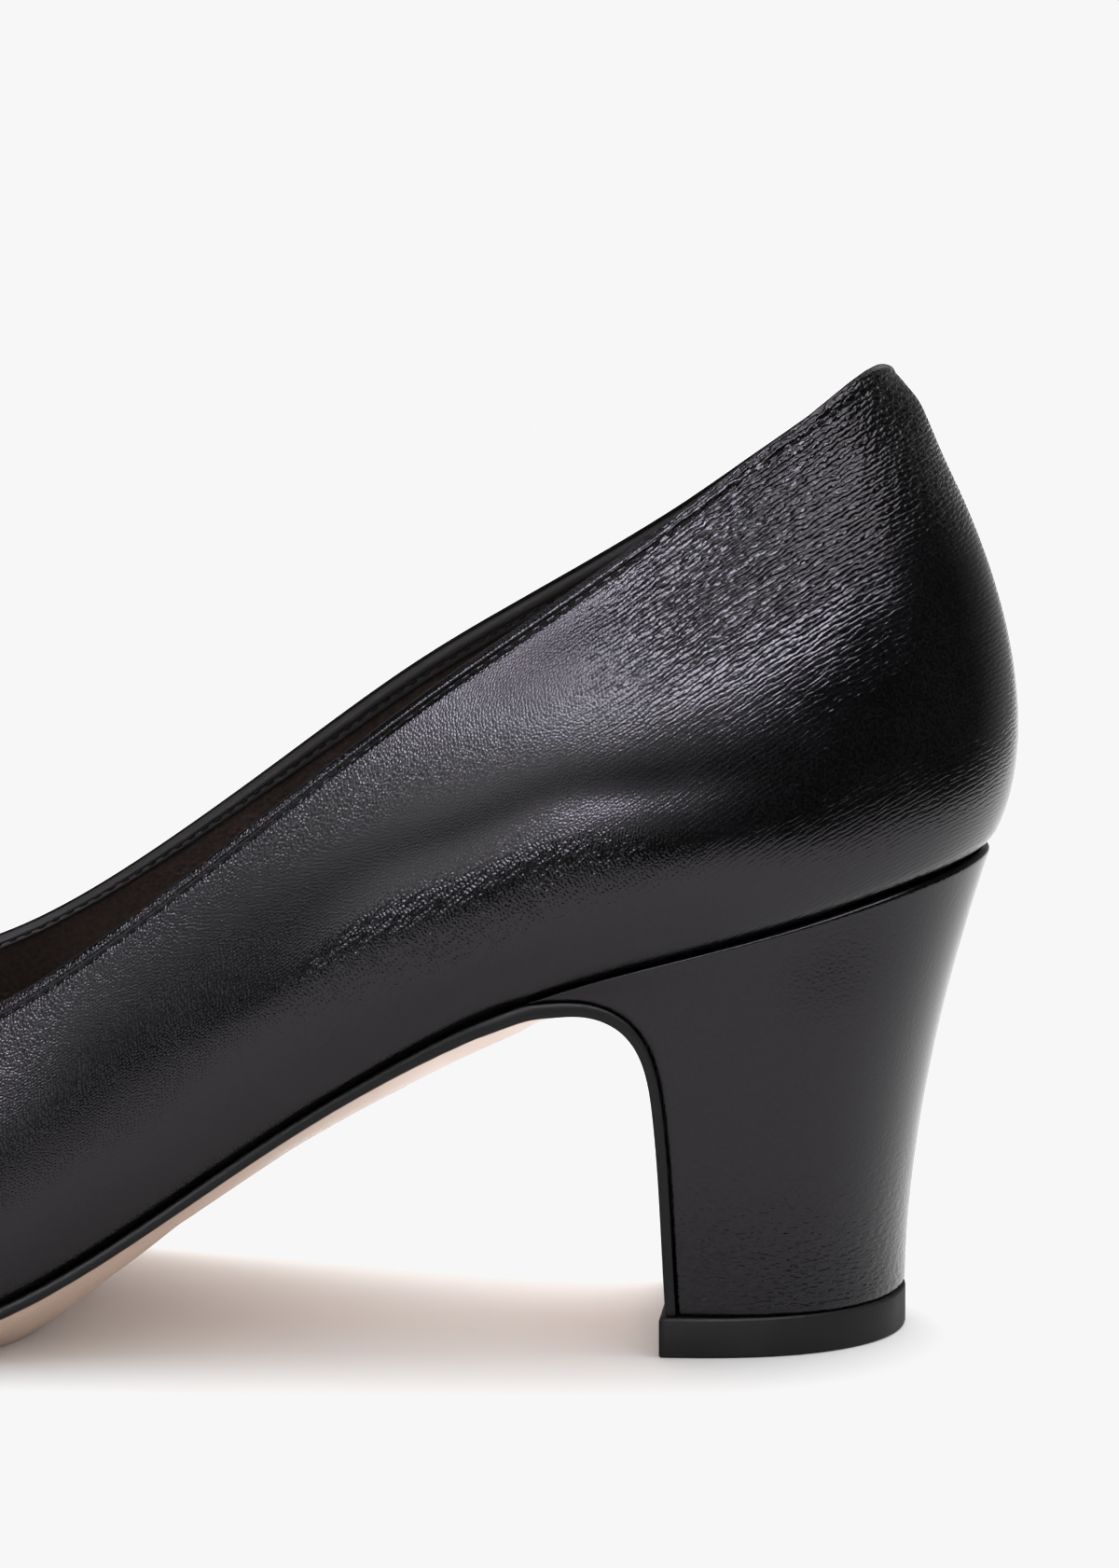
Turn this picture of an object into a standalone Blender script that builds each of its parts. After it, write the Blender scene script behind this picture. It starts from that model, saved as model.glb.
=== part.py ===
"""Block heel court shoe for the right foot: upper, outsole, heel, top piece and insole.

The toe points to -X, the outer side of the foot to +Y, and the shoe stands on z = 0.
Inside the tables every length is in millimetres, measured on the sample size; "along" runs
forward from the rearmost point of the counter and "up" from the floor.
"""
from collections import namedtuple

import bmesh
import bpy
import numpy as np

SHOE_NAME = "block_heel_court_shoe"
MM = 0.001

# Driving sizes of this shoe
SHOE_LENGTH = 237.6         # rearmost point to toe tip, at the feather edge
BALL_WIDTH = 77.0           # across the feather edge at the ball
HEEL_HEIGHT = 56.2          # floor to the feather edge at the back

# Sizes of the sample that the tables below were measured on
SAMPLE_LENGTH = 237.6
SAMPLE_BALL_WIDTH = 77.0
SAMPLE_HEEL_HEIGHT = 56.2

# Leather, seat and clearance sizes
UPPER_WALL = 1.6            # upper leather with its lining
INSOLE_THICKNESS = 2.6
INSOLE_INSET = 2.4          # insole edge inside the feather edge
INSOLE_MIN_BREADTH = 5.0    # narrowest end of the insole at toe and heel
SOLE_PROUD = 0.5            # sole edge outside the feather edge
HEEL_PROUD = 0.2            # heel cover outside the feather edge
FLAP_PROUD = 0.1            # breast flap outside the heel cover
SEAT_GAP = 0.3              # between pieces that meet
SOLE_TOP_CROWN = 1.1        # how far the middle of the insole bed lies below its edge
CROWN_POWER = 3.0           # how flat the middle of the sole's underside is

# Heel and top piece sizes
TOP_PIECE_HEIGHT = 4.6
TOP_PIECE_FRONT = 39.5
TOP_PIECE_BACK = 12.6
TOP_PIECE_HALF_WIDTH = 20.7
TOP_PIECE_ROUND = 2.6       # power that squares the round back of its outline
HEEL_FOOT_INSET = 0.4       # heel foot inside the top piece
BACK_FLARE = 1.77           # power of the hollow curve at the back of the heel
SIDE_FLARE = 1.6            # power of the hollow curve at its sides
SEAT_FRONT = 54.2           # where the heel wings run out to a point
SEAT_BOW = 4.0              # how late the layers take up the curve of the seat

# How finely the surfaces are divided
STEPS_PER_ROW = 2           # round the shoe, between two rows of the tables
UPPER_STEPS = 12            # from feather edge to topline
SOLE_STEPS = 8              # across the sole and insole
PATH_STEPS = 2              # down the breast, between two rows of its table
SEAT_STEPS = 8              # along the seat that the heel follows, between two rows
HEEL_LAYERS = 12
HEEL_SIDE_STEPS = 12
MERGE_GAP = 1e-6            # metres between points that count as one
SHARP_TURN = 35.0           # degrees between faces that keep a sharp edge

# The edge where the upper meets sole and heel, from the back of the heel to the toe
Feather = namedtuple("Feather", "along up medial lateral")
FEATHER = (
    Feather(3.2, 56.2, 0.0, 0.0),
    Feather(5.2, 55.6, 8.2, 8.2),
    Feather(10.5, 54.2, 15.4, 15.4),
    Feather(21.0, 51.3, 21.7, 21.7),
    Feather(36.0, 47.3, 25.0, 25.2),
    Feather(52.0, 42.6, 25.6, 27.0),
    Feather(68.0, 35.4, 25.3, 28.8),
    Feather(84.0, 25.7, 25.6, 31.2),
    Feather(100.0, 14.9, 28.0, 34.4),
    Feather(118.0, 5.7, 32.0, 37.8),
    Feather(140.0, 3.3, 35.8, 40.2),
    Feather(162.0, 3.1, 37.2, 39.6),
    Feather(182.0, 3.6, 35.2, 35.4),
    Feather(202.0, 5.2, 29.2, 26.6),
    Feather(219.0, 7.8, 22.0, 17.0),
    Feather(230.0, 9.7, 14.8, 8.8),
    Feather(235.6, 10.7, 9.4, 3.4),
    Feather(237.6, 11.1, 3.2, -3.2),
)

# The top edge of the upper that belongs to each row above
Topline = namedtuple("Topline", "along medial_out lateral_out medial_up lateral_up")
TOPLINE = (
    Topline(15.2, 0.0, 0.0, 110.2, 110.2),
    Topline(16.4, 5.4, 5.4, 109.7, 109.0),
    Topline(20.4, 10.6, 10.6, 107.6, 105.8),
    Topline(29.5, 15.2, 15.4, 101.6, 98.9),
    Topline(43.0, 19.4, 19.6, 91.9, 89.4),
    Topline(58.0, 22.7, 22.8, 81.9, 80.2),
    Topline(72.0, 25.3, 25.3, 71.8, 71.3),
    Topline(86.5, 27.5, 27.5, 60.5, 60.4),
    Topline(101.0, 29.2, 29.3, 49.4, 49.6),
    Topline(117.5, 30.4, 30.6, 39.2, 39.5),
    Topline(136.0, 30.0, 30.4, 34.2, 34.3),
    Topline(152.0, 26.8, 27.2, 33.6, 33.6),
    Topline(163.5, 20.5, 20.8, 34.9, 34.8),
    Topline(170.0, 13.2, 13.2, 36.5, 36.4),
    Topline(172.8, 7.0, 6.6, 37.4, 37.3),
    Topline(173.7, 3.4, 2.4, 37.7, 37.7),
    Topline(173.9, 1.6, 0.6, 37.8, 37.8),
    Topline(174.0, 0.6, -0.6, 37.8, 37.8),
)

# How each section of the wall leaves the feather edge and arrives at the topline
Swell = namedtuple("Swell", "foot_out foot_up head_out head_down")
SWELL = (
    Swell(8.4, 14.2, 10.5, 13.7),
    Swell(8.4, 14.2, 10.5, 13.8),
    Swell(8.6, 14.0, 10.5, 14.0),
    Swell(8.8, 13.5, 10.0, 14.5),
    Swell(8.8, 13.0, 9.0, 15.0),
    Swell(8.0, 12.5, 7.0, 14.0),
    Swell(7.0, 12.0, 5.0, 13.0),
    Swell(6.0, 11.0, 3.6, 12.0),
    Swell(5.8, 10.5, 3.4, 11.5),
    Swell(6.0, 10.0, 4.6, 11.0),
    Swell(5.6, 9.5, 6.2, 9.0),
    Swell(5.0, 9.5, 8.5, 6.0),
    Swell(4.4, 10.0, 10.0, 4.0),
    Swell(3.6, 11.5, 13.0, 3.0),
    Swell(2.6, 12.5, 19.0, 3.5),
    Swell(1.8, 13.5, 24.0, 4.5),
    Swell(1.4, 14.0, 26.0, 5.0),
    Swell(1.2, 14.0, 27.0, 5.0),
)

# Sole edge thickness and the crown of its underside, by distance along the shoe
SoleSize = namedtuple("SoleSize", "along edge crown")
SOLE_SIZES = (
    SoleSize(60.0, 1.5, 3.8),
    SoleSize(72.0, 1.5, 3.8),
    SoleSize(84.0, 1.5, 3.2),
    SoleSize(97.0, 1.5, 3.2),
    SoleSize(106.0, 1.5, 4.4),
    SoleSize(117.0, 1.5, 7.0),
    SoleSize(132.0, 1.6, 5.0),
    SoleSize(182.0, 1.6, 3.6),
    SoleSize(219.0, 1.5, 2.4),
    SoleSize(237.6, 1.5, 0.2),
)

# The upper side of the sole where it rounds the arch and runs down the heel breast
Breast = namedtuple("Breast", "along up edge crown")
BREAST = (
    Breast(57.2, 40.2, 1.6, 3.4),
    Breast(54.2, 41.2, 1.7, 2.7),
    Breast(51.0, 41.5, 1.7, 1.9),
    Breast(48.0, 41.4, 1.6, 1.3),
    Breast(45.2, 40.6, 1.5, 1.0),
    Breast(42.8, 39.0, 1.4, 0.8),
    Breast(41.0, 36.6, 1.3, 0.6),
    Breast(39.8, 33.2, 1.2, 0.5),
    Breast(39.0, 28.0, 1.2, 0.4),
    Breast(38.4, 20.0, 1.2, 0.4),
    Breast(38.0, 12.0, 1.2, 0.4),
    Breast(37.6, 4.9, 1.2, 0.4),
)

Finish = namedtuple("Finish", "color roughness")
BLACK_KID = Finish((0.010, 0.010, 0.011, 1.0), 0.35)
TAN_LEATHER = Finish((0.62, 0.44, 0.31, 1.0), 0.55)
BLACK_RUBBER = Finish((0.012, 0.012, 0.012, 1.0), 0.70)
BROWN_LINING = Finish((0.045, 0.026, 0.020, 1.0), 0.60)

LENGTH_SCALE = SHOE_LENGTH / SAMPLE_LENGTH
WIDTH_SCALE = BALL_WIDTH / SAMPLE_BALL_WIDTH
HEIGHT_SCALE = HEEL_HEIGHT / SAMPLE_HEEL_HEIGHT
HEEL_FOOT_UP = TOP_PIECE_HEIGHT * HEIGHT_SCALE + SEAT_GAP


def clear_scene():
    for old in list(bpy.data.objects):
        bpy.data.objects.remove(old, do_unlink=True)


def unit(vectors):
    return vectors / np.linalg.norm(vectors, axis=-1, keepdims=True)


def travelled(points):
    """Distance along a run of points, from the first one."""
    chords = np.linalg.norm(np.diff(points, axis=0), axis=1)
    return np.concatenate([[0.0], np.cumsum(chords)])


def spline_bends(knots, values, closed):
    """Second derivatives of the smooth curve through values at the knots."""
    count = len(knots)
    gaps = np.diff(knots)
    rows = np.eye(count)
    target = np.zeros_like(values)
    slopes = np.diff(values, axis=0) / gaps[:, None]
    for i in range(1, count - 1):
        rows[i, i - 1:i + 2] = gaps[i - 1], 2.0 * (gaps[i - 1] + gaps[i]), gaps[i]
        target[i] = 6.0 * (slopes[i] - slopes[i - 1])
    if closed:
        rows[0, [0, 1, -2]] = 2.0 * (gaps[0] + gaps[-1]), gaps[0], gaps[-1]
        target[0] = 6.0 * (slopes[0] - slopes[-1])
        rows[-1, [0, -1]] = 1.0, -1.0
    return np.linalg.solve(rows, target)


def smooth_through(knots, values, steps, closed=False):
    """Points of a cubic spline through the rows, with equal steps between neighbours."""
    bends = spline_bends(knots, values, closed)
    points = []
    for i in range(len(knots) - 1):
        gap = knots[i + 1] - knots[i]
        after = (np.arange(steps) / steps)[:, None]
        before = 1.0 - after
        line = before * values[i] + after * values[i + 1]
        bow = (before ** 3 - before) * bends[i] + (after ** 3 - after) * bends[i + 1]
        points.append(line + bow * gap ** 2 / 6.0)
    if not closed:
        points.append(values[-1:])
    return np.concatenate(points)


def side_rows(side, sign):
    """Feather, topline and swell columns of one side, from the heel to the toe."""
    rows = []
    for feather, top, swell in zip(FEATHER, TOPLINE, SWELL):
        rows.append((
            -feather.along * LENGTH_SCALE,
            sign * getattr(feather, side) * WIDTH_SCALE,
            feather.up * HEIGHT_SCALE,
            -top.along * LENGTH_SCALE,
            sign * getattr(top, side + "_out") * WIDTH_SCALE,
            getattr(top, side + "_up") * HEIGHT_SCALE,
            swell.foot_out * WIDTH_SCALE,
            swell.foot_up * HEIGHT_SCALE,
            swell.head_out * WIDTH_SCALE,
            swell.head_down * HEIGHT_SCALE,
        ))
    return np.array(rows)


def last_loop(steps):
    """All columns round the shoe: heel to toe on the medial side, back on the lateral."""
    medial = side_rows("medial", -1.0)
    lateral = side_rows("lateral", 1.0)
    chords = 0.0
    for side in (medial, lateral):
        chords = chords + 0.5 * np.linalg.norm(np.diff(side[:, :2], axis=0), axis=1)
    knots = np.concatenate([[0.0], np.cumsum(np.concatenate([chords, chords[::-1]]))])
    values = np.concatenate([medial, lateral[-2::-1]])
    return smooth_through(knots, values, steps, closed=True)


def outward(feather):
    """Level direction away from the shoe at each point of the closed feather edge."""
    run = np.roll(feather, -1, axis=0) - np.roll(feather, 1, axis=0)
    across = np.stack([run[:, 1], -run[:, 0], np.zeros(len(run))], axis=1)
    return -unit(across)


def upper_surface(steps, rises):
    """Outer face of the upper: a cubic Bezier from feather edge to topline at each section."""
    loop = last_loop(steps)
    feather, topline = loop[:, 0:3], loop[:, 3:6]
    away = outward(feather)
    lift = np.array([0.0, 0.0, 1.0])
    foot = feather + away * loop[:, 6:7] + lift * loop[:, 7:8]
    head = topline + away * loop[:, 8:9] - lift * loop[:, 9:10]
    rise = np.linspace(0.0, 1.0, rises + 1)[:, None, None]
    fall = 1.0 - rise
    return (fall ** 3 * feather + 3.0 * fall ** 2 * rise * foot
            + 3.0 * fall * rise ** 2 * head + rise ** 3 * topline)


def feather_sides(steps, proud):
    """Medial and lateral points of the feather edge, pushed outwards, from heel to toe."""
    feather = last_loop(steps)[:, 0:3]
    edge = feather + outward(feather) * proud
    half = len(edge) // 2
    lateral = np.concatenate([edge[:1], edge[:half - 1:-1]])
    return edge[:half + 1], lateral


def side_normal(path):
    """Direction out of the sole in side view, for a path that runs towards the heel."""
    run = np.gradient(path, axis=0)
    return unit(np.stack([run[:, 2], np.zeros(len(run)), -run[:, 0]], axis=1))


def columns(table, *names):
    return [np.array([getattr(row, name) for row in table]) for name in names]


def breast_path(steps):
    """Upper side of the sole round the arch and down the breast: place, edge and crown."""
    along, up, edge, crown = columns(BREAST, "along", "up", "edge", "crown")
    rows = np.stack([
        -along * LENGTH_SCALE, np.zeros(len(along)), up * HEIGHT_SCALE, edge, crown,
    ], axis=1)
    return smooth_through(travelled(rows[:, :3]), rows, steps)


def heel_front_breadth(count):
    """Medial and lateral half breadth of the breast flap from the arch down to the floor."""
    climb = np.linspace(1.0, 0.0, count) ** SIDE_FLARE
    seat = seat_breadth(np.array([SEAT_FRONT * LENGTH_SCALE]))
    foot = (TOP_PIECE_HALF_WIDTH - HEEL_FOOT_INSET) * WIDTH_SCALE
    return foot + climb[:, None] * (seat - foot) + FLAP_PROUD


def seat_breadth(along):
    """Medial and lateral half breadth of the heel seat at each distance along."""
    medial, lateral = feather_sides(SEAT_STEPS, HEEL_PROUD)
    inner = np.interp(along, -medial[:, 0], -medial[:, 1])
    outer = np.interp(along, -lateral[:, 0], lateral[:, 1])
    return np.stack([inner, outer], axis=1)


def sole_stations():
    """Edge points, outward direction, edge thickness and crown of the sole, toe to breast."""
    medial, lateral = feather_sides(STEPS_PER_ROW, SOLE_PROUD)
    along, edge, crown = columns(SOLE_SIZES, "along", "edge", "crown")
    along = along * LENGTH_SCALE
    under = -0.5 * (medial[:, 0] + lateral[:, 0]) >= along[0]
    medial, lateral = medial[under][::-1], lateral[under][::-1]
    drop = np.array([0.0, 0.0, SEAT_GAP])
    medial, lateral = medial - drop, lateral - drop
    middle = -0.5 * (medial[:, 0] + lateral[:, 0])
    edges = np.interp(middle, along, edge)
    crowns = np.interp(middle, along, crown)
    bed = np.full(len(middle), SOLE_TOP_CROWN)

    path = breast_path(PATH_STEPS)
    reach = heel_front_breadth(len(path))
    flap_medial = path[:, :3] + reach[:, 0:1] * np.array([0.0, -1.0, 0.0])
    flap_lateral = path[:, :3] + reach[:, 1:2] * np.array([0.0, 1.0, 0.0])
    medial = np.concatenate([medial, flap_medial])
    lateral = np.concatenate([lateral, flap_lateral])
    edges = np.concatenate([edges, path[:, 3]])
    crowns = np.concatenate([crowns, path[:, 4]])
    bed = np.concatenate([bed, np.linspace(SOLE_TOP_CROWN, 0.0, len(path))])
    normal = side_normal(0.5 * (medial + lateral))
    normal[-1] = -1.0, 0.0, 0.0
    return medial, lateral, normal, edges, crowns, bed


def seat_height(along):
    """Height of the heel seat, just under the feather edge, at each distance along."""
    table_along, up = columns(FEATHER, "along", "up")
    rows = np.stack([table_along * LENGTH_SCALE, up * HEIGHT_SCALE], axis=1)
    dense = smooth_through(rows[:, 0], rows, SEAT_STEPS)
    return np.interp(along, dense[:, 0], dense[:, 1]) - SEAT_GAP


def foot_half_width(back_share):
    """Half width of the top piece outline, from its straight front to its round back."""
    return TOP_PIECE_HALF_WIDTH * WIDTH_SCALE * np.sqrt(1.0 - back_share ** TOP_PIECE_ROUND)


def back_shares():
    """Even turns from the front of the heel to its rearmost point."""
    return np.sin(np.linspace(0.0, 0.5 * np.pi, HEEL_SIDE_STEPS + 1))


def heel_front():
    """Front edge of the heel in side view, behind the flap, from its foot to the wing tips."""
    path = breast_path(PATH_STEPS)[:, :3]
    front = (path - side_normal(path) * SEAT_GAP)[::-1]
    front[0, 2] = HEEL_FOOT_UP
    length = travelled(front)
    climbs = np.linspace(0.0, 1.0, HEEL_LAYERS + 1)
    reach = climbs * np.interp(SEAT_FRONT * LENGTH_SCALE, -front[:, 0], length)
    return climbs, np.interp(reach, length, -front[:, 0]), np.interp(reach, length, front[:, 2])


def heel_layers():
    """Lateral and medial rails of the heel, layer on layer from its foot to the seat."""
    share = back_shares()
    climbs, nose_along, nose_up = heel_front()
    foot_back = (TOP_PIECE_BACK + HEEL_FOOT_INSET) * LENGTH_SCALE
    seat_back = (FEATHER[0].along - HEEL_PROUD) * LENGTH_SCALE
    seat_along = nose_along[-1] + share * (seat_back - nose_along[-1])
    seat_up = seat_height(seat_along)
    seat_bow = seat_up - seat_up[0] - share * (seat_up[-1] - seat_up[0])
    nose_up[-1] = seat_up[0]
    seat = seat_breadth(seat_along)
    foot = np.maximum(foot_half_width(share) - HEEL_FOOT_INSET, 0.0)[:, None]
    layers = []
    for climb, nose, level in zip(climbs, nose_along, nose_up):
        back = foot_back + (seat_back - foot_back) * climb ** BACK_FLARE
        back_up = HEEL_FOOT_UP + (seat_up[-1] - HEEL_FOOT_UP) * climb
        along = nose + share * (back - nose)
        up = level + share * (back_up - level) + seat_bow * climb ** SEAT_BOW
        spread = foot + (seat - foot) * climb ** SIDE_FLARE
        medial = np.stack([-along, -spread[:, 0], up], axis=1)
        lateral = np.stack([-along, spread[:, 1], up], axis=1)
        layers.append((lateral, medial))
    return layers


def add_object(name, vertices, faces, finish, collection):
    """Mesh object from points in millimetres, with points that coincide merged."""
    mesh = bpy.data.meshes.new(name)
    mesh.from_pydata((np.asarray(vertices) * MM).tolist(), [], faces)
    shape = bmesh.new()
    shape.from_mesh(mesh)
    bmesh.ops.remove_doubles(shape, verts=shape.verts, dist=MERGE_GAP)
    shape.to_mesh(mesh)
    shape.free()
    mesh.shade_smooth()
    mesh.set_sharp_from_angle(angle=np.radians(SHARP_TURN))
    mesh.materials.append(new_material(name, finish))
    piece = bpy.data.objects.new(name, mesh)
    collection.objects.link(piece)
    return piece


def new_material(name, finish):
    material = bpy.data.materials.new(name + "_finish")
    material.use_nodes = True
    shader = material.node_tree.nodes["Principled BSDF"]
    shader.inputs["Base Color"].default_value = finish.color
    shader.inputs["Roughness"].default_value = finish.roughness
    shader.inputs["Metallic"].default_value = 0.0
    return material


def loft_rails(name, sections, finish, collection, pointed_start=False):
    """Closed solid through sections that each have two rails of equal length.

    A pointed start is a section that shrinks to an edge and so needs no end face.
    """
    loops = [np.concatenate([first, second[::-1]]) for first, second in sections]
    size = len(loops[0])
    last = (len(loops) - 1) * size
    faces = []
    for low in range(0, last, size):
        high = low + size
        for i in range(size):
            after = (i + 1) % size
            faces.append((low + i, high + i, high + after, low + after))
    for i in range(size // 2 - 1):
        strip = (i, i + 1, size - 2 - i, size - 1 - i)
        faces.append(tuple(last + corner for corner in strip[::-1]))
        if not pointed_start:
            faces.append(strip)
    return add_object(name, np.concatenate(loops), faces, finish, collection)


def make_upper(collection):
    """Open sheet round the foot, thickened inwards; open at the collar and underneath."""
    surface = upper_surface(STEPS_PER_ROW, UPPER_STEPS)
    rows, count = surface.shape[:2]
    faces = []
    for row in range(rows - 1):
        for i in range(count):
            after = (i + 1) % count
            faces.append((row * count + i, (row + 1) * count + i,
                          (row + 1) * count + after, row * count + after))
    upper = add_object("upper", surface.reshape(-1, 3), faces, BLACK_KID, collection)
    wall = upper.modifiers.new("wall", "SOLIDIFY")
    wall.thickness = UPPER_WALL * MM
    wall.offset = -1.0
    wall.use_even_offset = True
    return upper


def across(medial, lateral, steps):
    """Points from the medial to the lateral edge, with their place from -1 to 1."""
    place = np.linspace(-1.0, 1.0, steps + 1)
    share = 0.5 * (place + 1.0)
    return medial + share[:, None] * (lateral - medial), place


def make_outsole(collection):
    """Thin crowned sole, flat on the floor under the ball, rounded over the heel breast."""
    sections = []
    for medial, lateral, normal, edge, crown, bed in zip(*sole_stations()):
        line, place = across(medial, lateral, SOLE_STEPS)
        top = line + normal * (bed * (1.0 - place ** 2))[:, None]
        depth = edge + crown * (1.0 - np.abs(place) ** CROWN_POWER)
        bottom = line + normal * depth[:, None]
        bottom[:, 2] = np.maximum(bottom[:, 2], 0.0)
        sections.append((top, bottom))
    return loft_rails("outsole", sections, TAN_LEATHER, collection, pointed_start=True)


def make_heel(collection):
    return loft_rails("heel", heel_layers(), BLACK_KID, collection)


def make_top_piece(collection):
    """Flat lift under the heel with a straight front and a round back."""
    share = back_shares()
    along = (TOP_PIECE_FRONT + share * (TOP_PIECE_BACK - TOP_PIECE_FRONT)) * LENGTH_SCALE
    half = foot_half_width(share)
    sections = []
    for up in (0.0, TOP_PIECE_HEIGHT * HEIGHT_SCALE):
        level = np.full(len(along), up)
        medial = np.stack([-along, -half, level], axis=1)
        lateral = np.stack([-along, half, level], axis=1)
        sections.append((lateral, medial))
    return loft_rails("top_piece", sections, BLACK_RUBBER, collection)


def make_insole(collection):
    """Padded sock on the insole bed, inside the wall of the upper."""
    medial, lateral = feather_sides(STEPS_PER_ROW, -INSOLE_INSET)
    keep = lateral[:, 1] - medial[:, 1] >= INSOLE_MIN_BREADTH
    medial, lateral = medial[keep][::-1], lateral[keep][::-1]
    normal = side_normal(0.5 * (medial + lateral))
    middle = -0.5 * (medial[:, 0] + lateral[:, 0])
    bed_from, bed_to = SEAT_FRONT * LENGTH_SCALE, SOLE_SIZES[1].along * LENGTH_SCALE
    bed = np.interp(middle, (bed_from, bed_to), (0.0, SOLE_TOP_CROWN))
    sections = []
    for i in range(len(medial)):
        line, place = across(medial[i], lateral[i], SOLE_STEPS)
        bottom = line + normal[i] * (bed[i] * (1.0 - place ** 2))[:, None]
        top = bottom - normal[i] * INSOLE_THICKNESS
        sections.append((top, bottom))
    return loft_rails("insole", sections, BROWN_LINING, collection)


def centre_on_origin(pieces):
    """Shift every mesh so that the middle of the shoe's footprint box is the origin."""
    corners = []
    for piece in pieces:
        places = [vertex.co for vertex in piece.data.vertices]
        corners.append((np.min(places, axis=0), np.max(places, axis=0)))
    low = np.min([low for low, high in corners], axis=0)
    high = np.max([high for low, high in corners], axis=0)
    middle = 0.5 * (low + high)
    for piece in pieces:
        for vertex in piece.data.vertices:
            vertex.co.x -= middle[0]
            vertex.co.y -= middle[1]


def main():
    clear_scene()
    collection = bpy.data.collections.new(SHOE_NAME)
    bpy.context.scene.collection.children.link(collection)
    makers = (make_upper, make_outsole, make_heel, make_top_piece, make_insole)
    centre_on_origin([make(collection) for make in makers])


main()
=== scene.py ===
import bmesh
import bpy
import numpy as np
from mathutils import Matrix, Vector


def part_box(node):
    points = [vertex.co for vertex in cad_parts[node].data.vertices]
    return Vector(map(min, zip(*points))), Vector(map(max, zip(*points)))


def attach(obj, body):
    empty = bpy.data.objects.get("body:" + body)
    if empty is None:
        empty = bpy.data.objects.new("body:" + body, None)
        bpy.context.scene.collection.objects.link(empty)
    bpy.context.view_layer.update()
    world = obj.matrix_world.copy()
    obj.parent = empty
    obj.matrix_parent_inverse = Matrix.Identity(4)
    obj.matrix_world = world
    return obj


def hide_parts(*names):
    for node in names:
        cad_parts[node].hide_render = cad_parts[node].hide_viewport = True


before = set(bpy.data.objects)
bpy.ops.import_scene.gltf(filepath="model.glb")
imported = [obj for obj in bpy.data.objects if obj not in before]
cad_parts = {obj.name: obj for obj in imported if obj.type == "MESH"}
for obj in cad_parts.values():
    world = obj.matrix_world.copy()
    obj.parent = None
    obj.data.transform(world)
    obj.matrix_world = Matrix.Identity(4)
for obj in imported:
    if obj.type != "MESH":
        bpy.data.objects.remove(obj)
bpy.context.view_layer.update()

# The last in millimetres: along runs forward from the back of the counter, up from the floor.
# One row of each list belongs to one section of the shoe, from the heel to the toe.
last = {
    "wall": 1.6,
    # along, up, medial, lateral of the edge where upper and sole meet
    "feather": [
        (3.2, 56.2, 0.0, 0.0), (5.2, 55.6, 8.2, 8.2), (10.5, 54.2, 15.4, 15.4),
        (21.0, 51.3, 21.7, 21.7), (36.0, 47.3, 25.0, 25.2), (52.0, 42.6, 25.6, 27.0),
        (68.0, 35.4, 25.3, 28.8), (84.0, 25.7, 25.6, 31.2), (100.0, 14.9, 28.0, 34.4),
        (118.0, 5.7, 32.0, 37.8), (140.0, 3.3, 35.8, 40.2), (162.0, 3.1, 37.2, 39.6),
        (182.0, 3.6, 35.2, 35.4), (202.0, 5.2, 29.2, 26.6), (219.0, 7.8, 22.0, 17.0),
        (230.0, 9.7, 14.8, 8.8), (235.6, 10.7, 9.4, 3.4), (237.6, 11.1, 3.2, -3.2),
    ],
    # along, medial out, lateral out, medial up, lateral up of the top edge
    "topline": [
        (15.2, 0.0, 0.0, 110.2, 110.2), (16.4, 5.4, 5.4, 109.7, 109.0),
        (20.4, 10.6, 10.6, 107.6, 105.8), (29.5, 15.2, 15.4, 101.6, 98.9),
        (43.0, 19.4, 19.6, 91.9, 89.4), (58.0, 22.7, 22.8, 81.9, 80.2),
        (72.0, 25.3, 25.3, 71.8, 71.3), (86.5, 27.5, 27.5, 60.5, 60.4),
        (101.0, 29.2, 29.3, 49.4, 49.6), (117.5, 30.4, 30.6, 39.2, 39.5),
        (136.0, 30.0, 30.4, 34.2, 34.3), (152.0, 26.8, 27.2, 33.6, 33.6),
        (163.5, 20.5, 20.8, 34.9, 34.8), (170.0, 13.2, 13.2, 36.5, 36.4),
        (172.8, 7.0, 6.6, 37.4, 37.3), (173.7, 3.4, 2.4, 37.7, 37.7),
        (173.9, 1.6, 0.6, 37.8, 37.8), (174.0, 0.6, -0.6, 37.8, 37.8),
    ],
    # foot out, foot up, head out, head down: how the wall leaves one edge and reaches the other
    "swell": [
        (8.4, 14.2, 10.5, 13.7), (8.4, 14.2, 10.5, 13.8), (8.6, 14.0, 10.5, 14.0),
        (8.8, 13.5, 10.0, 14.5), (8.8, 13.0, 9.0, 15.0), (8.0, 12.5, 7.0, 14.0),
        (7.0, 12.0, 5.0, 13.0), (6.0, 11.0, 3.6, 12.0), (5.8, 10.5, 3.4, 11.5),
        (6.0, 10.0, 4.6, 11.0), (5.6, 9.5, 6.2, 9.0), (5.0, 9.5, 8.5, 6.0),
        (4.4, 10.0, 10.0, 4.0), (3.6, 11.5, 13.0, 3.0), (2.6, 12.5, 19.0, 3.5),
        (1.8, 13.5, 24.0, 4.5), (1.4, 14.0, 26.0, 5.0), (1.2, 14.0, 27.0, 5.0),
    ],
}
topPieceSize = {"height": 4.6, "front": 39.5, "back": 12.6, "halfWidth": 20.7, "round": 2.6}
mm = 0.001
mergeWithin = 1e-7  # metres; nearer points become one, as at the poles

# The tables' zero lies at the back of the counter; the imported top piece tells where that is
topLow, topHigh = [np.array(corner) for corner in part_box("top_piece")]
tableOrigin = np.array([topHigh[0] + topPieceSize["back"] * mm, 0.5 * (topLow[1] + topHigh[1]), 0.0])


# small helpers on whole arrays

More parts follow.
